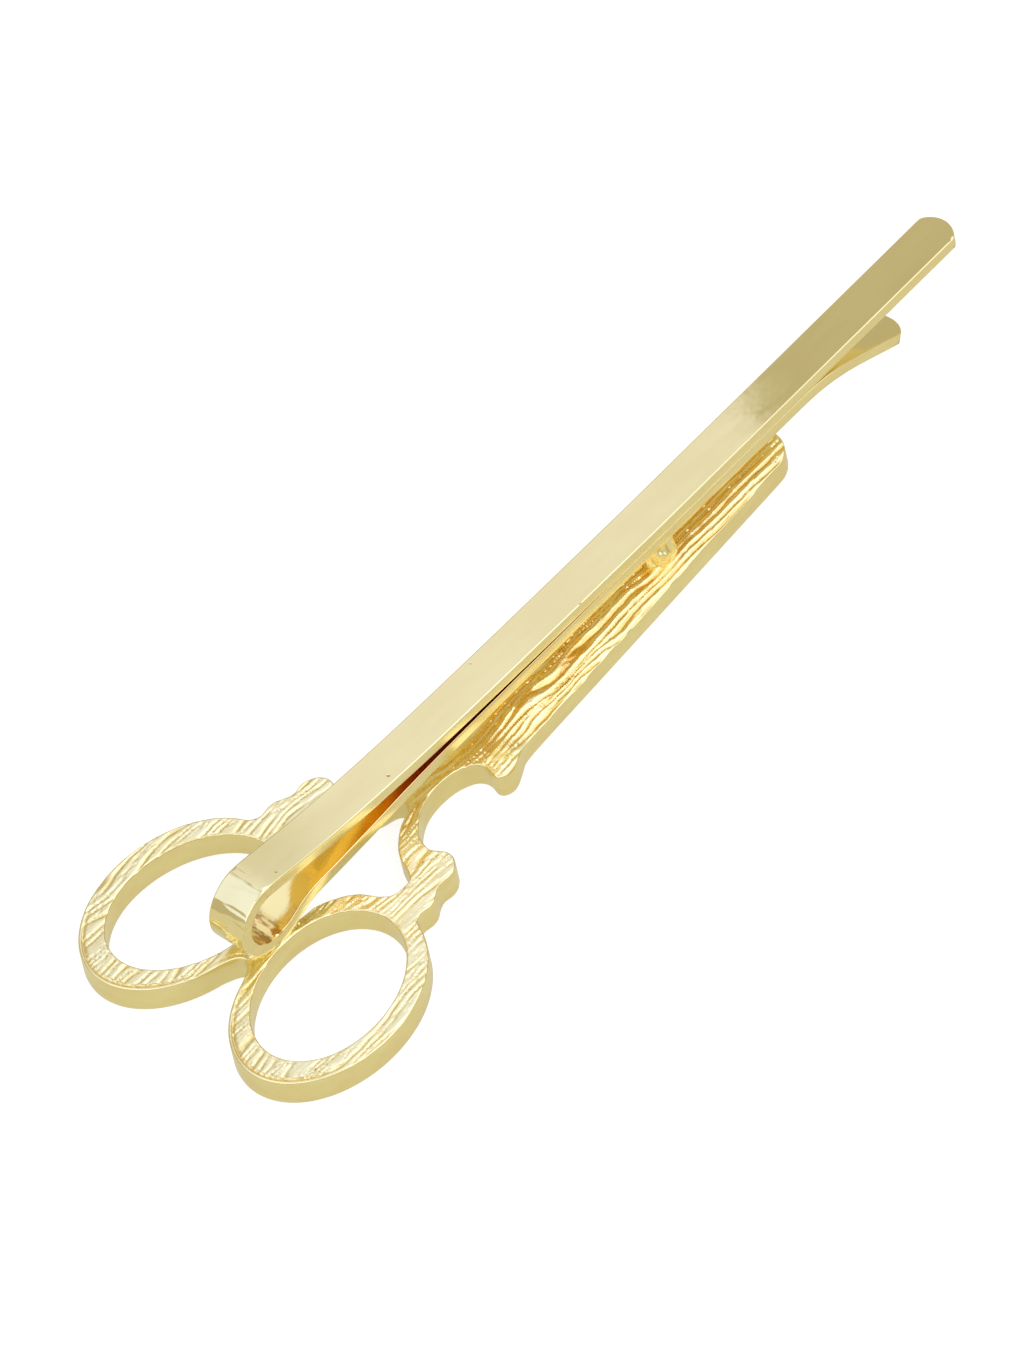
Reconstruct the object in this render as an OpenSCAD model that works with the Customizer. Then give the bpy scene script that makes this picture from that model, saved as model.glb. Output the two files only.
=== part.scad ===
// Scissors hair slide: a flat cast ornament with a folded spring clip soldered to its back.
// The ornament lies face down on z = 0 and the clip stands on its back.
// X runs from the finger rings to the free end of the clip, Y across, Z up from the face.
// The origin is at the middle of the whole slide, on the face of the ornament.

/* [Slide] */
// Overall length, from the finger rings to the free end of the clip
slide_len = 77; // [76.5:0.1:79]

/* [Ornament] */
// Thickness of the casting
cast_t = 2.3; // [2:0.1:2.6]
// Length of the casting, from the finger rings to the blade tip
cast_len = 59; // [58:0.5:60]
// Length of one finger ring
ring_len = 15.6; // [15.2:0.1:15.8]
// Width of one finger ring
ring_w = 11.3; // [11.2:0.1:11.5]
// Distance from the middle of the slide to the middle of a finger ring
ring_y = 6.35; // [6.2:0.05:6.4]
// Lean of a finger ring away from the middle line, in degrees
ring_lean = 4; // [2:1:6]
// Length of the hole in a finger ring
hole_len = 12.7; // [12.4:0.1:12.8]
// Width of the hole in a finger ring
hole_w = 9.1; // [8.8:0.1:9.2]
// Lean of the hole away from the middle line, in degrees
hole_lean = 11; // [9:1:13]
// Half width of the blade at its round tip
blade_tip_y = 1.85; // [1.7:0.05:2]

/* [Face] */
// Depth of the lines cut in the face
line_depth = 0.35; // [0.2:0.05:0.6]
// Width of the lines cut in the face
line_w = 0.5; // [0.4:0.05:0.7]
// Diameter of the pivot screw outlined on the face
pivot_d = 3.6; // [3:0.1:4]

/* [Clip] */
// Width of the spring strip
strip_w = 3; // [2.8:0.1:3.2]
// Thickness of the spring strip
strip_t = 0.9; // [0.8:0.05:0.95]
// Distance from the middle line to the middle of the strip
strip_y = 0.4; // [0:0.05:0.6]
// Outer radius of the bend that joins the two legs
bend_r = 2.9; // [2.8:0.05:3]
// Height of the front leg above the back of the casting, over the heel of the blade
leg_gap = 1.75; // [1.7:0.05:1.85]
// How much lower the legs lie where the flare starts
leg_fall = 0.15; // [0:0.05:0.2]
// Distance from the finger rings to the tip of the front leg
front_leg_end = 70.9; // [70:0.1:72]
// Downward slope of the flared tip of the front leg, in degrees
flare = 24; // [20:1:25]
// Radius of the rounded tips of the legs
end_r = 1.75; // [1.6:0.05:2.5]

/* [Solder] */
// Diameter of the post between the blade and the front leg
post_d = 3.4; // [3:0.1:3.8]
// Distance from the finger rings to the middle of the post
post_x = 47.2; // [46:0.1:49]

/* [Hidden] */
$fn = 96;

gold = [0.86, 0.78, 0.50];
pale_gold = [0.90, 0.86, 0.64];
solder_gold = [0.80, 0.70, 0.42];
sides = [-1, 1];

// Lengths below are measured from the tip of the finger rings, where the slide starts
start_x = -slide_len / 2;
ring_x = ring_len / 2;
hole_x = 8.3;
hole_y = 5.9;
tip_x = cast_len - blade_tip_y;
heel_x = 28.9;
pivot_x = 31.4;
bend_x = 9;
bend_z = cast_t + bend_r;
mid_r = bend_r - strip_t / 2;
level_x = 33;
flare_x = 62;
meet_x = 47;

// Outer edge of one shank, from the finger ring to the blade, as smooth stretches.
// Each stretch ends in the corner where the next one starts.
first_bump = [[15.3, 7.4], [16.1, 6.93], [16.8, 7.08], [17.5, 7], [18.1, 6.6], [18.8, 6.36]];
second_bump = [[18.8, 6.36], [19.5, 6.53], [20.2, 6.35], [20.8, 5.8], [20.95, 5.05], [20.6, 4.4],
               [20.4, 3.9], [20.55, 3.3], [20.85, 2.6]];
neck = [[20.85, 2.6], [21.5, 2.05], [22.3, 1.5], [23.3, 1.1], [24.6, 0.95], [26, 1.1], [27.1, 1.6],
        [27.4, 1.95]];
heel = [[27.4, 1.95], [27.55, 2.5], [27.42, 3.05], [27.27, 3.45], [27.42, 3.8], [27.85, 4.1], [28.4, 4.18],
        [heel_x, 4.02]];
blade_edge = [[heel_x, 4.02], [29.7, 3.66], [31, 3.3], [38, 2.9], [48, 2.35], [tip_x, blade_tip_y]];

// Edge of the notch between the finger rings
web = [[5, 1.25], [5.8, 0.86], [6.5, 0.47], [6.8, 0]];

// Edge of the opening between the shanks, from the ring junction to the blade
opening = [[10.4, 0], [10.7, 0.6], [11.6, 0.8], [12.7, 0.95], [14, 1.65], [15, 2.5], [15.6, 3.7],
           [16.2, 4.45], [17, 4.6], [17.9, 4.5], [18.4, 3.6], [19, 2.5], [20, 1.6], [20.9, 1.05],
           [21.6, 0.82], [22.2, 0.6], [22.5, 0]];

// Height of the middle of the front leg at x along its straight stretch
function front_z(x) =
    cast_t + leg_gap + strip_t / 2 - leg_fall * (x - level_x) / (flare_x - level_x);
// Height of the middle of the back leg at x where it lies on the front leg
function back_z(x) = front_z(x) + strip_t;

// Middle line of the back leg, as it comes down from the bend to the front leg.
// Both leg lines start inside the bend, and the legs are cut square where it ends.
back_leg_line = [[bend_x - 0.6, bend_z + mid_r], [bend_x, bend_z + mid_r],
                 [10.2, 7.5], [13, 7.03], [16, 6.6], [19, 6.3], [22.5, 6.03], [26, 5.85],
                 [33, 5.62], [40, 5.46], [meet_x, back_z(meet_x)]];
// Middle line of the front leg, as it steps up from the bend to its straight stretch
front_leg_line = [[bend_x - 0.6, bend_z - mid_r], [bend_x, bend_z - mid_r],
                  [10.1, 2.78], [10.9, 3.12], [11.7, 3.62], [12.6, 3.87], [14.5, 3.9],
                  [16.5, 3.98], [19, 4.13], [22, 4.34], [26, 4.46],
                  [level_x, front_z(level_x)]];

// One point of a smooth curve through b and c, with a before them and d after them
function curve_point(a, b, c, d, t) =
    0.5 * (2 * b + (c - a) * t + (2 * a - 5 * b + 4 * c - d) * t * t
    + (3 * b - a - 3 * c + d) * t * t * t);

// A smooth curve through all the points p, with the given number of steps between two of them
function curve(p, steps = 5) =
    let (n = len(p) - 1)
    [for (i = [0 : n - 1], s = [0 : steps - (i < n - 1 ? 1 : 0)])
        curve_point(p[max(i - 1, 0)], p[i], p[i + 1], p[min(i + 2, n)], s / steps)];

// Unit vector square to the line at point i
function square_to(p, i) =
    let (d = p[min(i + 1, len(p) - 1)] - p[max(i - 1, 0)])
    [-d[1], d[0]] / norm(d);

// Closed outline of a band of thickness t along the middle line p
function band(p, t) = concat(
    [for (i = [0 : len(p) - 1]) p[i] + square_to(p, i) * t / 2],
    [for (i = [len(p) - 1 : -1 : 0]) p[i] - square_to(p, i) * t / 2]);

// The line p in reverse order
function back(p) = [for (i = [len(p) - 1 : -1 : 0]) p[i]];
// The line p on the other side of the middle line
function flip(p) = [for (q = p) [q[0], -q[1]]];

// Oval with its length along X
module oval(length, width) {
    polygon([for (a = [0 : 360 / $fn : 359]) [length / 2 * cos(a), width / 2 * sin(a)]]);
}

// Puts a shape that is drawn from the tip of the finger rings in its place
module place() {
    translate([start_x, 0, 0]) children();
}

// Outline of the casting without its openings
module casting_outline() {
    tip = [for (a = [80 : -10 : 10]) [tip_x + blade_tip_y * cos(a), blade_tip_y * sin(a)]];
    half = concat([[10.8, 0], [12.8, 8.3], [14.9, 7.9]], curve(first_bump), curve(second_bump), curve(neck),
                  curve(heel), curve(blade_edge), tip);
    web_half = concat([[11.2, 1]], curve(web));
    for (s = sides)
        translate([ring_x, s * ring_y]) rotate(-s * ring_lean) oval(ring_len, ring_w);
    polygon(concat(flip(half), [[cast_len, 0]], back(half)));
    polygon(concat(web_half, back(flip(web_half))));
}

// Openings that go right through the casting
module casting_openings() {
    for (s = sides)
        translate([hole_x, s * hole_y]) rotate(-s * hole_lean) oval(hole_len, hole_w);
    polygon(concat(curve(opening), back(flip(curve(opening)))));
}

// Lines cut in the face: the edge between the two blades and the outline of the pivot screw
module face_lines() {
    translate([pivot_x + pivot_d / 2 + 1, -line_w / 2, 0])
        cube([tip_x - pivot_x - pivot_d / 2 - 2, line_w, line_depth]);
    translate([pivot_x, 0, 0]) difference() {
        cylinder(d = pivot_d + line_w, h = line_depth);
        cylinder(d = pivot_d - line_w, h = line_depth);
    }
    translate([pivot_x, 0, 0]) rotate(35)
        translate([-pivot_d / 2 + line_w, -line_w / 2, 0])
            cube([pivot_d - 2 * line_w, line_w, line_depth]);
}

module scissors_casting() {
    color(gold) place() difference() {
        linear_extrude(cast_t) difference() {
            casting_outline();
            casting_openings();
        }
        face_lines();
    }
}

// A band of the strip's width, standing on edge along the middle line
module strip_along(line) {
    translate([0, strip_y + strip_w / 2, 0]) rotate([90, 0, 0])
        linear_extrude(strip_w) polygon(band(line, strip_t));
}

// Plan of a leg from x1 to its rounded tip at x2
module leg_plan(x1, x2) {
    translate([0, strip_y]) intersection() {
        translate([x1, -strip_w / 2]) square([x2 - x1, strip_w]);
        union() {
            translate([x1, -strip_w / 2]) square([x2 - end_r - x1, strip_w]);
            translate([x2 - end_r, 0]) circle(r = end_r);
        }
    }
}

// Fixed leg: level above the blade, with a tip flared down toward the face side
module clip_front_leg() {
    z = front_z(flare_x);
    bow = [[flare_x - 2, front_z(flare_x - 2)], [flare_x - 0.4, z - 0.02], [flare_x + 0.9, z - 0.14],
           [flare_x + 2.4, z - 0.48], [flare_x + 3.9, z - 0.98], [flare_x + 5.5, z - 1.66]];
    end = [front_leg_end + 0.2, z - 1.66 - (front_leg_end - flare_x - 5.3) * tan(flare)];
    color(pale_gold) place() intersection() {
        strip_along(concat(curve(front_leg_line), curve(bow), [end]));
        linear_extrude(20) leg_plan(bend_x, front_leg_end);
    }
}

// Half turn that joins the legs at the finger rings
module clip_bend() {
    color(pale_gold) place() translate([bend_x, strip_y + strip_w / 2, bend_z]) rotate([90, 0, 0])
        linear_extrude(strip_w) difference() {
            circle(r = bend_r);
            circle(r = bend_r - strip_t);
            translate([0, -bend_r - 1]) square([bend_r + 1, 2 * bend_r + 2]);
        }
}

// Sprung leg: comes down from the bend, then lies along the front leg up to the free end
module clip_back_leg() {
    color(pale_gold) place() intersection() {
        strip_along(concat(curve(back_leg_line), [[slide_len + 0.2, back_z(slide_len + 0.2)]]));
        linear_extrude(20) leg_plan(bend_x, slide_len);
    }
}

// Solder that fills the wedges between the bend, the front leg and the ring junction
module solder_joint_rings() {
    fill_w = strip_w - 0.6;
    wedge = [[6.9, cast_t], [11.6, cast_t], [11.3, 2.75], [10.8, 2.5], [10.2, cast_t + 0.02],
             [bend_x, cast_t + 0.01], [8.1, 2.44], [7.3, 2.86], [7, 2.7]];
    color(solder_gold) place() translate([0, strip_y + fill_w / 2 - 0.3, 0]) rotate([90, 0, 0])
        linear_extrude(fill_w) polygon(wedge);
}

// Post of solder that ties the front leg to the back of the blade
module solder_post_blade() {
    color(solder_gold) place() translate([post_x, strip_y - 0.1, cast_t])
        cylinder(d = post_d, h = front_z(post_x + post_d / 2) - strip_t / 2 - cast_t);
}

scissors_casting();
clip_front_leg();
clip_bend();
clip_back_leg();
solder_joint_rings();
solder_post_blade();
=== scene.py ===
import math
from functools import cache

import bpy
import numpy as np
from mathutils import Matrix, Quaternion, Vector
from mathutils.bvhtree import BVHTree
from mathutils.geometry import delaunay_2d_cdt


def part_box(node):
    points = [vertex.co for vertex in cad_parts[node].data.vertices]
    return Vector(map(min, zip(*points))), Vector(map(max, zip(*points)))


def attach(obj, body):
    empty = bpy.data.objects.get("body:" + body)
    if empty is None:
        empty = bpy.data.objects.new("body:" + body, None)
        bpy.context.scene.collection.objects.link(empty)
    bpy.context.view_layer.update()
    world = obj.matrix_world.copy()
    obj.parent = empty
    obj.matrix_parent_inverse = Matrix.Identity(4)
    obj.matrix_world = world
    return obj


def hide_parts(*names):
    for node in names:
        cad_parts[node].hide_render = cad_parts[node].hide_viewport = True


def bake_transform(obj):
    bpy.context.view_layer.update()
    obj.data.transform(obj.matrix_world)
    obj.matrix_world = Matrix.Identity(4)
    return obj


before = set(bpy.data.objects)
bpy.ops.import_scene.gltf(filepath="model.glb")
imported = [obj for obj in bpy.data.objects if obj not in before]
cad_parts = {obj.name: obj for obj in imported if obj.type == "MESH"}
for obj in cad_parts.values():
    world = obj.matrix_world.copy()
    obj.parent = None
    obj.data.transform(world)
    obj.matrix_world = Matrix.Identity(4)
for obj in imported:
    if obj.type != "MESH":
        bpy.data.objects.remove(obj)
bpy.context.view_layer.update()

# Lengths are in millimetres, and become metres where a mesh is made
MM = 0.001

# The casting
FURROW_DEPTH = 0.22  # deepest furrow in the back
RIM_BACK = 0.12  # rounding where the back meets the walls
RIM_RINGS = 0.40  # rounding of the face side round the finger rings
RIM_BLADE = 0.80  # and along the blades
RIM_FROM, RIM_TO = -11.5, -8  # along X, where the one gives way to the other
EDGE_STEP = 0.15  # distance between points along the edges
EDGE_ROWS = (0.03, 0.08, 0.14, 0.22, 0.31, 0.40, 0.52, 0.66, 0.8)  # depths of the rows beside them
RELIEF_TOP = 0.5  # nothing cut in the face is deeper
RELIEF_REACH = 0.07  # how far its edges are eased
RING_X, RING_Y = -30.7, 6.35  # centre of a finger ring
HEEL_X, HEEL_Y = -10.2, 4.0  # tip of a heel

# The blade's back is crowned, so that it mirrors the bright side of the studio and not the strip above it
CROWN_ROOT, CROWN_FULL = -9.5, -7  # along X, where the crown starts and where it is whole
CROWN_FLAT, CROWN_EDGE = 0.6, 3.0  # from the centre line, where its fall starts and ends
CROWN_RISE, CROWN_FALL = 0.13, 0.23  # above the flat back in the middle, and below it at the edges

# The strip
STRIP_EDGE = 0.08  # rounding of the long edges
STRIP_ROWS = (0.012, 0.035, 0.08, 0.13)  # depths of the rows of points beside the edges
STRIP_STEP = 0.25  # distance between points along the strip
TIP_ARC = 1.75  # radius of the legs' rounded tips

# The camera, fitted to the photo. Angles are in degrees, and the distance is in metres
CAMERA_AZIMUTH, CAMERA_ELEVATION, CAMERA_ROLL = -37.865, 51.035, -13.53
CAMERA_DISTANCE, CAMERA_LENS = 2.934, 1200
CAMERA_AIM = (-5.24, 0.066, 3.258)

# The world's light: the first four are mirrored in the metal, and the last is seen by the camera
TENT = (0.55, 0.516, 0.42)
BRIGHT_SIDE, BEHIND = (1.218, 1.272, 1.55), (0.956, 1.042, 1.40)
LENS_SPOT = (0.42, 0.39, 0.32)
BACKDROP = (1, 1, 1)


# ---------------------------------------------------------------- small tools

def box_mm(node):
    """A CAD node's lowest and highest corners, in millimetres."""
    low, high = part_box(node)
    return np.array(low) / MM, np.array(high) / MM


def ease(a, b, t):
    """0 before a, 1 after b, and a smooth step between them."""
    t = np.clip((t - a) / (b - a), 0, 1)
    return t * t * (3 - 2 * t)


def noise(x, y, seed):
    """Smooth noise over a plane, from about -1 to 1, the same on every run."""
    xi, yi = np.floor(x).astype(np.int64), np.floor(y).astype(np.int64)
    xf, yf = x - xi, y - yi
    u, v = (t * t * t * (t * (6 * t - 15) + 10) for t in (xf, yf))

    def corner(i, j):
        h = ((xi + i) * 374761393 + (yi + j) * 668265263 + seed * 974634777) & 0xFFFFFFFF
        h = ((h ^ (h >> 13)) * 1274126177) & 0xFFFFFFFF
        turn = ((h ^ (h >> 16)) & 0xFFFF) / 65536 * 2 * math.pi
        return np.cos(turn) * (xf - i) + np.sin(turn) * (yf - j)

    low = corner(0, 0) * (1 - u) + corner(1, 0) * u
    high = corner(0, 1) * (1 - u) + corner(1, 1) * u
    return 1.5 * (low * (1 - v) + high * v)


def round_over(d, r):
    """How far a rounded edge of radius r has dropped at distance d inside it."""
    d = np.clip(d, 0, r)
    return r - np.sqrt(np.maximum(r * r - (r - d) ** 2, 0))


def node_tree(node):
    """A CAD node's surface, for casting rays at, in millimetres."""
    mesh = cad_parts[node].data
    return BVHTree.FromPolygons([v.co / MM for v in mesh.vertices],
                                [tuple(p.vertices) for p in mesh.polygons])


def add_object(name, data):
    """A new object in the scene."""
    thing = bpy.data.objects.new(name, data)
    bpy.context.scene.collection.objects.link(thing)
    return thing


# ---------------------------------------------------------------- plates

def top_edges(node):
    """The closed edges of a CAD node's flat top, each with the metal on its left."""
    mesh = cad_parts[node].data
    top = max(v.co.z for v in mesh.vertices)
    after = {}
    for face in mesh.polygons:
        corners = [mesh.vertices[i].co for i in face.vertices]
        if all(top - c.z < 1e-7 for c in corners):
            keys = [(round(c.x / MM, 4), round(c.y / MM, 4)) for c in corners]
            for a, b in zip(keys, keys[1:] + keys[:1]):
                if after.get(b) and a in after[b]:
                    after[b].discard(a)
                else:
                    after.setdefault(a, set()).add(b)
    after = {a: b.pop() for a, b in after.items() if b}
    loops = []
    while after:
        point, follow = after.popitem()
        loop = [point]
        while follow in after:
            loop.append(follow)
            follow = after.pop(follow)
        loops.append(np.array(loop))
    return loops


def even_out(loop, step, passes):
    """A closed edge again, with points a step apart and its corners eased."""
    p = np.vstack([loop, loop[:1]])
    along = np.r_[0, np.cumsum(np.linalg.norm(np.diff(p, axis=0), axis=1))]
    t = np.linspace(0, along[-1], round(along[-1] / step), endpoint=False)
    q = np.column_stack([np.interp(t, along, p[:, i]) for i in (0, 1)])
    for _ in range(passes):
        q = q + 0.25 * (np.roll(q, 1, 0) + np.roll(q, -1, 0) - 2 * q)
    return q


def edge_tree(loops, hard=None):
    """Upright walls on the edges, to measure the distance to the nearest edge.
    An edge has none where hard(x, y) holds at its middle."""
    points, quads = [], []
    for loop in loops:
        for a, b in zip(loop, np.roll(loop, -1, 0)):
            if hard is not None and hard(*((a + b) / 2)):
                continue
            n = len(points)
            points += [(*a, -1), (*b, -1), (*b, 1), (*a, 1)]
            quads.append((n, n + 1, n + 2, n + 3))
    return BVHTree.FromPolygons(points, quads)


def to_edge(tree, points):
    """Distance to the nearest edge, and the X part of that edge's outward direction."""
    found = [tree.find_nearest((x, y, 0)) for x, y in points]
    return np.array([f[3] for f in found]), np.array([f[1].x for f in found])


def inside(loops, points):
    """Which points lie in the metal."""
    crossings = np.zeros(len(points), int)
    x, y = points[:, 0], points[:, 1]
    for loop in loops:
        for (ax, ay), (bx, by) in zip(loop, np.roll(loop, -1, 0)):
            if ay != by:
                low, high = min(ay, by), max(ay, by)
                near = np.nonzero((y >= low) & (y < high))[0]
                crossings[near] += x[near] < ax + (y[near] - ay) * (bx - ax) / (by - ay)
    return crossings % 2 == 1


def staggered_grid(low, high, dx, dy):
    """Points dx apart, in rows dy apart, with every other row shifted by half of dx."""
    rows = []
    for i, y in enumerate(np.arange(low[1] + dy / 2, high[1], dy)):
        x = np.arange(low[0] + dx * (0.25 + 0.5 * (i % 2)), high[0] - dx / 4, dx)
        rows.append(np.column_stack([x, np.full(len(x), y)]))
    return np.vstack(rows)


def fill_plan(loops, tree, depths, dx, dy, clear):
    """Points and triangles that fill the plan: its edges, rows beside them, and a grid that is clear of them."""
    parts = list(loops)
    for loop in loops:
        way = np.roll(loop, -1, 0) - np.roll(loop, 1, 0)
        left = np.column_stack([-way[:, 1], way[:, 0]]) / np.linalg.norm(way, axis=1)[:, None]
        for depth in depths:
            row = loop + left * depth
            row = row[inside(loops, row)]
            parts.append(row[to_edge(tree, row)[0] > 0.93 * depth])  # none where another edge is nearer
    everything = np.vstack(loops)
    grid = staggered_grid(everything.min(0), everything.max(0), dx, dy)
    grid = grid[inside(loops, grid)]
    parts.append(grid[to_edge(tree, grid)[0] > clear])
    points = np.vstack(parts)
    edges, start = [], 0
    for loop in loops:
        n = len(loop)
        edges += [(start + i, start + (i + 1) % n) for i in range(n)]
        start += n
    found = delaunay_2d_cdt([Vector(p) for p in points], edges, [], 1, 1e-5)
    origin = [ids[0] for ids in found[3]]
    triangles = np.array([[origin[i] for i in f] for f in found[2] if len(f) == 3])
    a, b, c = (points[triangles[:, i]] for i in range(3))
    area = (b[:, 0] - a[:, 0]) * (c[:, 1] - a[:, 1]) - (b[:, 1] - a[:, 1]) * (c[:, 0] - a[:, 0])
    keep = inside(loops, (a + b + c) / 3) & (abs(area) > 1e-9)
    triangles, area = triangles[keep], area[keep]
    triangles[area < 0] = triangles[area < 0][:, ::-1]
    return points, triangles


def make_plate(name, loops, plan, top, low, rows, lay, hard=None, paint_top=0, paint_low=0, paint_side=0):
    """A closed plate: the filled plan at its top and low heights, joined by walls with the given rows.
    lay(plan points, heights) places its points, and walls are flat where hard(x, y) holds. Each paint is a place
    in the piece's list of materials, and paint_top may be a function that gives one for each triangle."""
    points, triangles = plan
    n, count = len(points), len(triangles)
    sizes = [len(loop) for loop in loops]
    edge = np.arange(sum(sizes))
    follow = np.concatenate([start + (np.arange(size) + 1) % size
                             for start, size in zip(np.cumsum([0] + sizes[:-1]), sizes)])
    walls = [top[edge] + (low[edge] - top[edge]) * (k + 1) / (rows + 1) for k in range(rows)]
    heights = [top] + walls + [low]
    plans = [points] + [points[edge]] * rows + [points]
    corners = np.vstack([lay(p, h) for p, h in zip(plans, heights)])
    first = [0] + [n + k * len(edge) for k in range(rows + 1)]
    faces = triangles.tolist() + (triangles[:, ::-1] + first[-1]).tolist()
    for a, b in zip(first, first[1:]):
        faces += np.column_stack([a + edge, b + edge, b + follow, a + follow]).tolist()
    mesh = bpy.data.meshes.new(name)
    mesh.from_pydata((corners * MM).tolist(), [], faces)
    smooth = np.ones(len(faces), bool)
    if hard is not None:
        ends = np.array([hard(*m) for m in (points[edge] + points[follow]) / 2])
        smooth[2 * count:] = ~np.tile(ends, rows + 1)
    mesh.polygons.foreach_set("use_smooth", smooth)
    kinds = np.zeros(len(faces), np.int32)
    kinds[:count] = paint_top(triangles) if callable(paint_top) else paint_top
    kinds[count:2 * count] = paint_low
    kinds[2 * count:] = paint_side
    mesh.polygons.foreach_set("material_index", kinds)
    mesh.validate()
    mesh.update()
    if hard is not None:
        sharp = {key for face in mesh.polygons if not face.use_smooth for key in face.edge_keys}
        mesh.attributes.new("sharp_edge", "BOOLEAN", "EDGE").data.foreach_set(
            "value", [edge.key in sharp for edge in mesh.edges])
    return add_object(name, mesh)


# ---------------------------------------------------------------- the casting

def furrows(x, y):
    """How deep the casting's back is furrowed at x, y, from 0 to 1: long wavy grooves that run along X, like
    tree bark, broad and close on the blade, and thin and far apart on the rings."""
    blade, calm = ease(-12, -6, x), 1 - 0.7 * ease(0, 14, x)
    wave = y + calm * (0.20 * noise(x / 4.0, y / 1.6, 1) + 0.06 * noise(x / 1.1, y / 0.6, 2))
    tone = noise(x / (6.0 - 1.5 * blade), wave / 1.1, 3)
    ridge = 0.5 - 0.5 * np.cos(2 * math.pi * (wave / (0.52 - 0.08 * blade) + 1.1 * calm * tone))
    come = ease(-0.5, 0.45, noise(x / 2.2, wave / 0.6, 7))
    scratch = np.exp(-(noise(x / 2.4, wave / 0.30, 4) / 0.10) ** 2)
    swell = noise(x / 5, wave / 1.1, 6)
    return np.clip((0.36 + 0.44 * blade) * ridge ** (5.5 - 3.6 * blade) * (0.3 + 0.7 * come)
                   + (0.12 + 0.02 * blade) * scratch * (1.2 - come) + 0.09 * (0.5 - swell), 0, 1)


def casting_back(points, tree, thick):
    """Height of the casting's back, and the distance to its edge. The back is furrowed, and crowned on the
    blade, with an eased rim, rounder heels, and a polished bead round the outside of the rings."""
    depth, out_x = to_edge(tree, points)
    x, y = points.T
    from_ring = np.hypot(x - RING_X, abs(y) - RING_Y)
    bead = ease(0.25, 0.75, -out_x) * ease(-26, -29, x) * ease(4, 5.5, from_ring)
    fade = ease(-0.05, 0.10, depth) * (1 - bead) + ease(0.26, 0.38, depth) * bead
    channel = 0.5 * bead * np.exp(-((depth - 0.31) / 0.09) ** 2)
    heel = np.exp(-((x - HEEL_X) ** 2 + (abs(y) - HEEL_Y) ** 2) / 0.8)
    fall = (CROWN_RISE + CROWN_FALL) * ease(CROWN_FLAT, CROWN_EDGE, abs(y)) - CROWN_RISE
    crown = ease(CROWN_ROOT, CROWN_FULL, x) * fall
    rim = round_over(depth, RIM_BACK + 0.06 * bead + 0.30 * heel)
    height = thick - crown - rim - FURROW_DEPTH * (furrows(x, y) * fade + channel)
    return height, depth


def casting_face(points, tree, cad):
    """Height of the casting's face side: rounded off to the walls, with the lines that the CAD part has."""
    depth, _ = to_edge(tree, points)
    x, y = points.T
    edge = RIM_RINGS + (RIM_BLADE - RIM_RINGS) * ease(RIM_FROM, RIM_TO, x)
    relief = np.zeros(len(points))
    around = [(0, 0), (RELIEF_REACH, 0), (-RELIEF_REACH, 0), (0, RELIEF_REACH), (0, -RELIEF_REACH)]
    for dx, dy in around:
        for i in np.nonzero(depth > 0.5)[0]:
            hit = cad.ray_cast((x[i] + dx, y[i] + dy, -5), (0, 0, 1))[0]
            if hit is not None:
                relief[i] += min(max(hit.z, 0), RELIEF_TOP) / len(around)
    return round_over(depth, edge) + relief


def make_casting():
    """The scissors-shaped casting, which lies on its face."""
    node = "scissors_casting"
    thick = box_mm(node)[1][2]
    loops = [even_out(loop, EDGE_STEP, passes=4) for loop in top_edges(node)]
    tree = edge_tree(loops)
    dx, dy, clear = ((0.17, 0.085, 0.27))
    plan = fill_plan(loops, tree, EDGE_ROWS, dx, dy, clear)
    back, depth = casting_back(plan[0], tree, thick)
    face = casting_face(plan[0], tree, node_tree(node))

    def lay(p, h):
        return np.column_stack([p, h])

    def past_the_rim(triangles):
        return (depth[triangles].mean(1) > RIM_BACK * 0.6).astype(np.int32)

    piece = make_plate("Scissors_casting", loops, plan, back, face, rows=3, lay=lay, paint_top=past_the_rim)
    piece.data.materials.append(polished_edge_gold())
    piece.data.materials.append(furrowed_gold())
    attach(piece, "ornament")
    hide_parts(node)


# ---------------------------------------------------------------- the strip

def strip_thickness():
    """Thickness of the strip: how far a ray goes through the wall of the bend."""
    low, high = box_mm("clip_bend")
    wall = node_tree("clip_bend").ray_cast(tuple((low + high) / 2), (-1, 0, 0))[0]
    return wall.x - low[0]


def leg_line(node, tip_margin):
    """The middle line of a leg in the XZ plane, read off the CAD node from its root to its tip: how far along
    it each point is, and the point's X and Z. The tip stops short of the CAD's by the margin."""
    tree = node_tree(node)
    low, high = box_mm(node)
    y = (low[1] + high[1]) / 2
    x = np.arange(low[0] + 0.03, high[0] - 0.7, STRIP_STEP)
    upper = np.array([tree.ray_cast((t, y, 50), (0, 0, -1))[0].z for t in x])
    lower = np.array([tree.ray_cast((t, y, -50), (0, 0, 1))[0].z for t in x])
    z = (upper + lower) / 2
    for _ in range(12):
        z[1:-1] += 0.25 * (z[2:] + z[:-2] - 2 * z[1:-1])
    x[0] = low[0]
    end = high[0] - tip_margin  # past the last ray, the line goes on straight
    slope = (z[-1] - z[-9]) / (x[-1] - x[-9])
    x, z = np.r_[x, end], np.r_[z, z[-1] + slope * (end - x[-1])]
    return np.r_[0, np.cumsum(np.hypot(np.diff(x), np.diff(z)))], x, z


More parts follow.
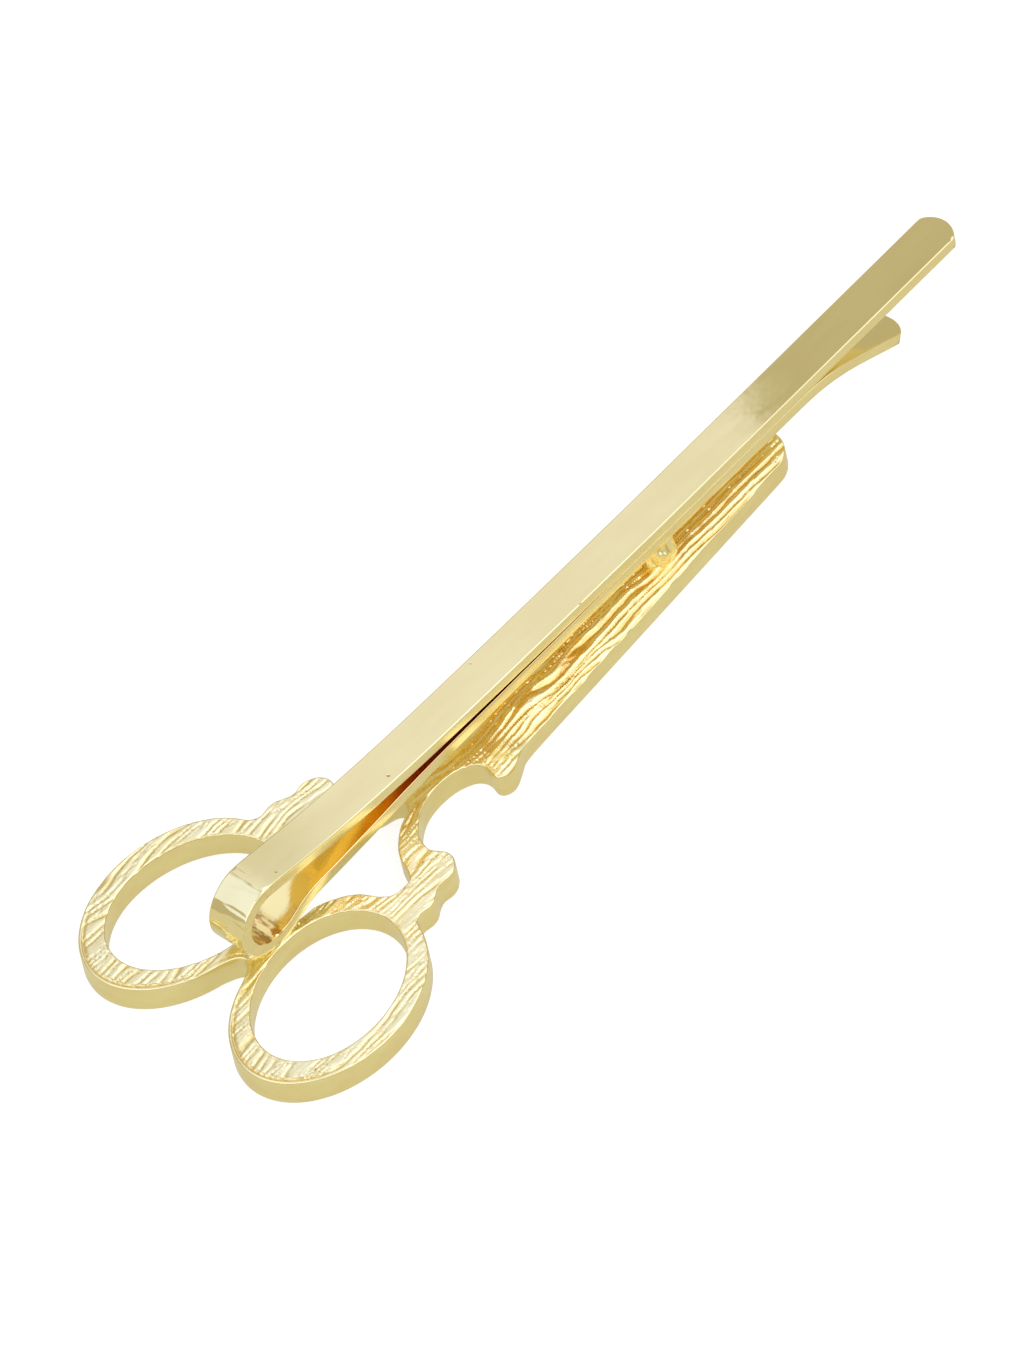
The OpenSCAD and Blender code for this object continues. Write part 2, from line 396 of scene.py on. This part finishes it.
def strip_plan(length, low_y, high_y, tip):
    """Plan of a stretch of strip: straight sides, a square root, and a square or rounded end."""
    half, middle = (high_y - low_y) / 2, (low_y + high_y) / 2
    if tip:
        reach = math.asin(half / TIP_ARC)
        bow = [(length - TIP_ARC + TIP_ARC * math.cos(a), middle + TIP_ARC * math.sin(a))
               for a in np.linspace(-reach, reach, 15)]
    else:
        bow = [(length, low_y), (length, high_y)]
    outline = [(0, low_y)] + bow + [(0, high_y)]
    dense = []
    for (ax, ay), (bx, by) in zip(outline, outline[1:] + outline[:1]):
        n = max(1, math.ceil(math.hypot(bx - ax, by - ay) / STRIP_STEP))
        dense += [(ax + (bx - ax) * i / n, ay + (by - ay) * i / n) for i in range(n)]
    return [np.array(dense)]


def make_strip(name, node, length, tip, lay, thick, inner):
    """One stretch of the strip: its plan, rounded along its long edges and its tip, laid along its middle line.
    Its inner side, which faces the other leg, is "top" or "low"."""
    low, high = box_mm(node)
    loops = strip_plan(length, low[1], high[1], tip)

    def hard(s, y):
        return s < 1e-6 or (not tip and s > length - 1e-6)

    tree = edge_tree(loops, hard)
    plan = fill_plan(loops, tree, STRIP_ROWS, dx=STRIP_STEP, dy=0.22, clear=0.24)
    depth, _ = to_edge(tree, plan[0])
    half = thick / 2 - round_over(depth, STRIP_EDGE)
    piece = make_plate(name, loops, plan, half, -half, rows=2, lay=lay, hard=hard,
                       paint_top=int(inner == "top"), paint_low=int(inner == "low"), paint_side=2)
    for material in (strip_gold(), inner_gold(), side_gold()):
        piece.data.materials.append(material)
    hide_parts(node)
    return piece


def make_leg(name, node, body, thick, tip_margin, inner):
    """A leg of the strip, on its own middle line."""
    along, x, z = leg_line(node, tip_margin)
    tilt = np.arctan2(np.gradient(z, along), np.gradient(x, along))
    tilt[0] = 0

    def lay(p, h):
        s, y = p.T
        t = np.interp(s, along, tilt)
        return np.column_stack([np.interp(s, along, x) - h * np.sin(t), y,
                                np.interp(s, along, z) + h * np.cos(t)])

    piece = make_strip(name, node, along[-1], True, lay, thick, inner)
    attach(piece, body)


def make_bend(thick):
    """The half turn between the legs: the slide's spring, laid here as one fixed piece."""
    low, high = box_mm("clip_bend")
    centre_x, centre_z, middle = high[0], (low[2] + high[2]) / 2, (high[2] - low[2] - thick) / 2

    def lay(p, h):
        s, y = p.T
        turn = s / middle
        return np.column_stack([centre_x - (middle + h) * np.sin(turn), y,
                                centre_z - (middle + h) * np.cos(turn)])

    piece = make_strip("Strip_bend", "clip_bend", math.pi * middle, False, lay, thick, inner="low")
    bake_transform(piece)


# ---------------------------------------------------------------- the solder

def make_lump(name, node, rings, profile, seed, rough):
    """A lump of solder: rings of points round an upright axis, drawn in and out by noise.
    profile(t, angle) gives the radius and the height, from 0 to 1, for t from 0 at the base to 1 at the top."""
    low, high = box_mm(node)
    centre, half = (low + high) / 2, (high - low) / 2
    turns = 128
    angle = np.linspace(0, 2 * math.pi, turns, endpoint=False)
    east, north = np.cos(angle), np.sin(angle)
    corners = []
    for i in range(rings + 1):
        t = i / rings
        radius, height = profile(t, angle)
        wobble = 1 + rough * noise(3 + 2.2 * east, 3 + 2.2 * north + 2 * t, seed)
        lumps = 0.04 * radius * noise(2 * east, 2 * north + 3 * t, seed + 1)
        corners += np.column_stack([centre[0] + half[0] * radius * wobble * east,
                                    centre[1] + half[1] * radius * wobble * north,
                                    low[2] + (high[2] - low[2]) * height + lumps]).tolist()
    faces = []
    for a in range(0, rings * turns, turns):
        for b in range(turns):
            c = (b + 1) % turns
            faces.append((a + b, a + c, a + turns + c, a + turns + b))
    faces += [tuple(range(turns))[::-1], tuple(rings * turns + b for b in range(turns))]
    mesh = bpy.data.meshes.new(name)
    mesh.from_pydata([tuple(v * MM for v in c) for c in corners], [], faces)
    mesh.polygons.foreach_set("use_smooth", [True] * len(faces))
    mesh.materials.append(solder_gold())
    piece = add_object(name, mesh)
    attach(piece, "ornament")
    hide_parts(node)


def make_post():
    """The solder post between the blade and the front leg, with a sunken shoulder, a pinhole and a bead on its
    open side. Its base goes a little into the blade."""
    def spot(angle, t, at_angle, at_t, size):
        return 0.16 * np.exp(-((angle - at_angle) / size) ** 2 - ((t - at_t) / size) ** 2)

    def profile(t, angle):
        shoulder = 0.20 * ease(0.25, 0.95, t) * np.exp(-((angle - 4.95) / 0.30) ** 2)
        pinhole = spot(angle, t, 4.35, 0.80, 0.10)
        bead = spot(angle, t, 4.55, 0.60, 0.16)
        body = 0.98 - 0.08 * math.sin(math.pi * t) - 0.14 * t ** 4
        return body - shoulder - pinhole + bead, -0.16 + 1.16 * t

    make_lump("Solder_post", "solder_post_blade", rings=18, profile=profile, seed=21, rough=0.05)


def make_ring_solder():
    """The solder under the bend, at the junction of the finger rings."""
    def profile(t, angle):
        return math.cos(t * math.pi / 2 * 0.97) ** 0.5, -0.25 + 1.2 * math.sin(t * math.pi / 2)

    make_lump("Solder_rings", "solder_joint_rings", rings=14, profile=profile, seed=31, rough=0.12)


# ---------------------------------------------------------------- shader nodes

def put(tree, kind, inputs=None, **settings):
    """A new node with the given settings. An input is a number, or the output that feeds it."""
    node = tree.nodes.new("ShaderNode" + kind)
    for key, value in settings.items():
        setattr(node, key, value)
    for key, value in (inputs or {}).items():
        if isinstance(value, bpy.types.NodeSocket):
            tree.links.new(value, node.inputs[key])
        else:
            node.inputs[key].default_value = value
    return node


def times(tree, a, b):
    """Two values multiplied."""
    return put(tree, "Math", {0: a, 1: b}, operation="MULTIPLY").outputs[0]


def rise(tree, value, start, end, low=0.0, high=1.0, kind="SMOOTHSTEP"):
    """Low at start and high at end, with a smooth step between them, or a straight one if kind is LINEAR."""
    span = {"From Min": start, "From Max": end, "To Min": low, "To Max": high}
    return put(tree, "MapRange", {"Value": value, **span}, interpolation_type=kind).outputs["Result"]


def mix(tree, factor, a, b, blend="MIX"):
    """Colour b laid over colour a. A colour is three numbers, or the output that feeds it."""
    a, b = (c if isinstance(c, bpy.types.NodeSocket) else (*c, 1) for c in (a, b))
    inputs = {"Factor": factor, "A": a, "B": b}
    return put(tree, "Mix", inputs, data_type="RGBA", blend_type=blend).outputs["Result"]


def place_mm(tree, scale):
    """Object coordinates, stretched so that one noise cell is scale millimetres long each way."""
    coords = put(tree, "TexCoord").outputs["Object"]
    return put(tree, "Mapping", {"Vector": coords, "Scale": [1 / (s * MM) for s in scale]}).outputs["Vector"]


def axes_mm(tree):
    """The X, Y and Z of the object coordinates, in millimetres."""
    return put(tree, "SeparateXYZ", {"Vector": place_mm(tree, (1, 1, 1))}).outputs


def texture(tree, scale, detail=2.0):
    """Noise with cells of the given size in millimetres."""
    return put(tree, "TexNoise", {"Vector": place_mm(tree, scale), "Scale": 1.0, "Detail": detail,
                                  "Roughness": 0.5}).outputs["Fac"]


def ramp(tree, value, stops):
    """A colour ramp. Stops are pairs of a place and a grey level or a colour."""
    node = put(tree, "ValToRGB", {"Fac": value})
    points = node.color_ramp.elements
    while len(points) < len(stops):
        points.new(0.5)
    for point, (place, level) in zip(points, stops):
        point.position = place
        point.color = (*level, 1) if isinstance(level, tuple) else (level, level, level, 1)
    return node.outputs["Color"]


def bump(tree, height, depth, before=None):
    """A bump of the given depth in millimetres, on top of the one before."""
    inputs = {"Height": height, "Strength": 1.0, "Distance": depth * MM}
    if before is not None:
        inputs["Normal"] = before
    return put(tree, "Bump", inputs).outputs["Normal"]


def pits(tree, cell, share):
    """Small round marks, one in some cells of the given size."""
    dots = put(tree, "TexVoronoi", {"Vector": place_mm(tree, (cell, cell, cell)), "Scale": 1.0})
    chosen = put(tree, "SeparateColor", {"Color": dots.outputs["Color"]}).outputs[0]
    near = ramp(tree, dots.outputs["Distance"], [(0.02, 1.0), (0.055, 0.0)])
    some = ramp(tree, chosen, [(share - 0.01, 1.0), (share, 0.0)])
    return times(tree, near, some)


# ---------------------------------------------------------------- materials

def new_metal(name):
    """A metal material, and its node tree."""
    material = bpy.data.materials.new(name)
    material.use_nodes = True
    tree = material.node_tree
    tree.nodes["Principled BSDF"].inputs["Metallic"].default_value = 1.0
    return material, tree


def dress(tree, colour, roughness, normal):
    """Gives the metal its colour, roughness and normal."""
    shader = tree.nodes["Principled BSDF"]
    for key, value in (("Base Color", colour), ("Roughness", roughness), ("Normal", normal)):
        tree.links.new(value, shader.inputs[key])


@cache
def strip_gold():
    """Bright plating on the rolled strip: faint rolling lines, orange peel, a few pits and dull patches.
    The bend has fine creases and no pits, and the metal beside it is darker: painted shade for the dimmer
    reflection near the bend."""
    material, tree = new_metal("Strip_gold")
    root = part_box("clip_bend")[1][0] / MM
    along = axes_mm(tree)[0]
    flat = rise(tree, along, root - 0.6, root + 1.2)
    marks = times(tree, pits(tree, cell=2.6, share=0.50), flat)
    clean = ramp(tree, texture(tree, (9, 2.5, 4), 3.0),
                 [(0.35, (0.92, 0.80, 0.40)), (0.62, (0.96, 0.85, 0.45))])
    marked = mix(tree, marks, clean, (0.55, 0.40, 0.13))
    # Painted shade: the colour darkens toward the bend, for the dimmer reflection there
    beside = times(tree, rise(tree, along, root + 9, root + 1.2), flat)
    painted_bend_shade = mix(tree, beside, marked, (0.87, 0.86, 0.79), "MULTIPLY")
    peel = bump(tree, texture(tree, (1.6, 1.1, 1.6)), 0.006)
    rolled = bump(tree, texture(tree, (14, 0.14, 0.14)), 0.0003, peel)
    bent = ramp(tree, flat, [(0, 1.0), (1, 0.0)])
    creased = bump(tree, times(tree, bent, texture(tree, (0.55, 2.4, 0.55), 1.5)), 0.08, rolled)
    pitted = bump(tree, ramp(tree, marks, [(0, 1.0), (1, 0.0)]), 0.02, creased)
    dress(tree, painted_bend_shade, ramp(tree, texture(tree, (3, 0.8, 3), 4.0), [(0.3, 0.05), (0.7, 0.11)]), pitted)
    return material


@cache
def inner_gold():
    """The strip's inner side, with painted reflection and shade: amber where the legs part, deep brown painted
    shade where they close, pale where they part again, and dark brown spots in the fold."""
    material, tree = new_metal("Inner_gold")
    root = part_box("clip_bend")[1][0] / MM
    part = rise(tree, axes_mm(tree)[0], root - 1.9, root + 48.1, kind="LINEAR")
    # Painted reflection and shade: amber for gold mirrored in gold where the legs part, brown for the shade
    # between them
    pale, painted_amber_reflection, painted_slit_shade = (0.91, 0.78, 0.37), (1.0, 0.80, 0.33), (0.81, 0.56, 0.22)
    colour = ramp(tree, part, [(0.0, (0.90, 0.72, 0.34)), (0.014, painted_amber_reflection), (0.20, painted_amber_reflection), (0.33, painted_slit_shade),
                               (0.50, painted_slit_shade), (0.8, pale)])
    fold = ramp(tree, part, [(0.0, 1.0), (0.045, 1.0), (0.06, 0.0)])
    spots = ramp(tree, texture(tree, (0.5, 1.2, 0.5)), [(0.46, 0.0), (0.54, 0.85)])
    # Dark brown spots down in the fold
    fold_spotted = mix(tree, times(tree, fold, spots), colour, (0.50, 0.25, 0.06))
    dress(tree, fold_spotted, ramp(tree, texture(tree, (3, 0.8, 3), 4.0), [(0.3, 0.09), (0.7, 0.15)]),
          bump(tree, texture(tree, (1.6, 0.5, 1.6)), 0.006))
    return material


@cache
def side_gold():
    """The strip's cut sides: satin, with fine lines along the strip."""
    material, tree = new_metal("Side_gold")
    dress(tree,
          ramp(tree, texture(tree, (6, 3, 0.5), 3.0),
               [(0.35, (0.915, 0.785, 0.38)), (0.65, (0.96, 0.84, 0.43))]),
          ramp(tree, texture(tree, (2.5, 1, 0.2), 3.0), [(0.3, 0.24), (0.7, 0.36)]),
          bump(tree, texture(tree, (5, 1, 0.16)), 0.002))
    return material


def polished_edge_gold():
    """The casting's smooth walls and face: gold with a slight swell from polishing."""
    material, tree = new_metal("Polished_edge_gold")
    swell = bump(tree, texture(tree, (2.2, 2.2, 1.4)), 0.014)
    dress(tree,
          ramp(tree, texture(tree, (3.5, 3.5, 1.8), 3.0),
               [(0.35, (0.915, 0.78, 0.375)), (0.65, (0.96, 0.85, 0.425))]),
          ramp(tree, texture(tree, (1.2, 1.2, 0.6), 4.0), [(0.3, 0.10), (0.7, 0.18)]),
          bump(tree, texture(tree, (0.5, 0.5, 0.08)), 0.0012, swell))
    return material


def furrowed_gold():
    """The casting's back: lighter on the ridges, and painted shade in deep gold down in the furrows, with a fine
    grain along X.
    The blade's crown is levelled out before the height gives the colour."""
    material, tree = new_metal("Furrowed_gold")
    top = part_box("scissors_casting")[1][2] / MM
    x, y, z = axes_mm(tree)
    across = put(tree, "Math", {0: y}, operation="ABSOLUTE").outputs[0]
    fall = rise(tree, across, CROWN_FLAT, CROWN_EDGE, -CROWN_RISE, CROWN_FALL)
    blade = rise(tree, x, CROWN_ROOT, CROWN_FULL)
    height = put(tree, "Math", {0: fall, 1: blade, 2: z}, operation="MULTIPLY_ADD").outputs[0]
    # Painted shade: the lower in the furrows, the deeper and more orange the gold, for the shade and reflections
    # down there
    level = rise(tree, height, top - 0.10, top - 0.015, kind="LINEAR")
    deep = ramp(tree, level, [(0.0, (0.97, 0.71, 0.24)), (0.5, (0.99, 0.82, 0.38)), (1.0, (0.99, 0.91, 0.54))])
    patch = ramp(tree, texture(tree, (2.5, 1.2, 2), 3.0), [(0.3, (0.96, 0.93, 0.86)), (0.7, (1, 1, 1))])
    dress(tree, mix(tree, 1.0, deep, patch, "MULTIPLY"),
          ramp(tree, texture(tree, (1.2, 0.3, 1), 4.0), [(0.3, 0.20), (0.7, 0.32)]),
          bump(tree, texture(tree, (1.8, 0.16, 1)), 0.008))
    return material


@cache
def solder_gold():
    """Plated solder: lumpy, and less polished than the strip."""
    material, tree = new_metal("Solder_gold")
    dress(tree,
          ramp(tree, texture(tree, (0.7, 0.7, 0.7), 3.0),
               [(0.3, (0.92, 0.78, 0.37)), (0.6, (0.95, 0.85, 0.45))]),
          ramp(tree, texture(tree, (0.5, 0.5, 0.5), 3.0), [(0.3, 0.14), (0.7, 0.28)]),
          bump(tree, texture(tree, (0.9, 0.9, 0.9), 1.0), 0.02))
    return material


# ---------------------------------------------------------------- the studio

def make_floor(name, height, colour, glow, seen):
    """A wide plain floor. One is seen by the camera, and one just under it is seen in the metal."""
    side = 1.5
    mesh = bpy.data.meshes.new(name)
    corners = [(x * side, y * side, height) for x, y in ((-1, -1), (1, -1), (1, 1), (-1, 1))]
    mesh.from_pydata(corners, [], [(0, 1, 2, 3)])
    material = bpy.data.materials.new(name)
    material.use_nodes = True
    shader = material.node_tree.nodes["Principled BSDF"]
    shader.inputs["Base Color"].default_value = (*colour, 1)
    shader.inputs["Roughness"].default_value = 0.9
    shader.inputs["Specular IOR Level"].default_value = 0.0
    shader.inputs["Emission Color"].default_value = (*glow, 1)
    shader.inputs["Emission Strength"].default_value = 1.0
    mesh.materials.append(material)
    floor = add_object(name, mesh)
    floor.visible_camera = seen
    floor.visible_glossy = not seen
    floor.visible_diffuse = not seen


def make_panel(name, centre, size, turn, radiance, colour):
    """A level soft panel above the object, of the given radiance."""
    data = bpy.data.lights.new(name, "AREA")
    data.shape = "RECTANGLE"
    data.size, data.size_y = size
    data.energy = radiance * math.pi * size[0] * size[1]
    data.color = colour
    lamp = add_object(name, data)
    lamp.location = centre
    lamp.rotation_euler = (0, 0, turn)
    lamp.visible_camera = False


def direction(azimuth, elevation):
    """The way from the object toward a place in the studio. Azimuth 0 is toward -Y, and 90 toward +X."""
    a, e = math.radians(azimuth), math.radians(elevation)
    return Vector((math.sin(a) * math.cos(e), -math.cos(a) * math.cos(e), math.sin(e)))


def make_world():
    """A soft tent in the metal: warm and dim all round, with a broad bright side that stops short of the horizon
    and the zenith, and a slightly dimmer spot where the lens is. The camera itself sees white."""
    world = bpy.data.worlds.new("Studio")
    bpy.context.scene.world = world
    world.use_nodes = True
    tree = world.node_tree
    way = put(tree, "TexCoord").outputs["Generated"]

    def toward(vector):
        return put(tree, "VectorMath", {0: way, 1: tuple(vector.normalized())},
                   operation="DOT_PRODUCT").outputs["Value"]

    bright = rise(tree, toward(Vector((-0.50, -0.60, 0.60))), 0.02, 0.26)
    height = toward(Vector((0, 0, 1)))
    for dim, full in ((0.32, 0.37), (0.965, 0.935)):
        bright = times(tree, bright, rise(tree, height, dim, full))
    lens = rise(tree, toward(direction(CAMERA_AZIMUTH, CAMERA_ELEVATION)),
                math.cos(math.radians(5)), math.cos(math.radians(4)))
    behind = rise(tree, toward(Vector((0, 1, 0))), 0.25, 0.45)
    tent = mix(tree, bright, TENT, mix(tree, behind, BRIGHT_SIDE, BEHIND))
    in_metal = mix(tree, lens, tent, LENS_SPOT)
    final = mix(tree, put(tree, "LightPath").outputs["Is Camera Ray"], in_metal, BACKDROP)
    tree.links.new(final, tree.nodes["Background"].inputs["Color"])


def make_camera():
    """A long lens above one end of the slide, turned a little about its own axis."""
    data = bpy.data.cameras.new("Camera")
    data.lens, data.sensor_width = CAMERA_LENS, 36
    data.clip_start, data.clip_end = 0.01, 20
    camera = add_object("Camera", data)
    back = direction(CAMERA_AZIMUTH, CAMERA_ELEVATION)
    camera.location = Vector(CAMERA_AIM) * MM + back * CAMERA_DISTANCE
    camera.rotation_mode = "QUATERNION"
    level = (-back).to_track_quat("-Z", "Y")
    roll = Quaternion((0, 0, 1), math.radians(CAMERA_ROLL))
    camera.rotation_quaternion = level @ roll
    bpy.context.scene.camera = camera


def make_studio():
    """Floors, panel, world and camera. Heights, places and sizes are in metres here."""
    bpy.context.scene.view_settings.view_transform = "Standard"
    make_floor("Floor", height=-0.00002, colour=(0.4, 0.4, 0.395), glow=(0.80, 0.80, 0.80), seen=True)
    make_floor("Floor_in_metal", height=-0.0002, colour=(0.32, 0.30, 0.22), glow=(0.451, 0.438, 0.38),
               seen=False)
    make_panel("Panel", centre=(0.0160, -0.0011, 0.10), size=(0.065, 0.24), turn=math.radians(-16.7),
               radiance=0.42, colour=(0.776, 0.894, 1.5))
    bpy.context.scene.cycles.glossy_bounces = 12
    make_world()
    make_camera()


# ---------------------------------------------------------------- the object

thick = strip_thickness()
make_casting()
make_leg("Strip_front_leg", "clip_front_leg", "ornament", thick, tip_margin=0.18, inner="top")
make_bend(thick)
make_leg("Strip_back_leg", "clip_back_leg", "back_leg", thick, tip_margin=0.01, inner="low")
make_post()
make_ring_solder()
make_studio()
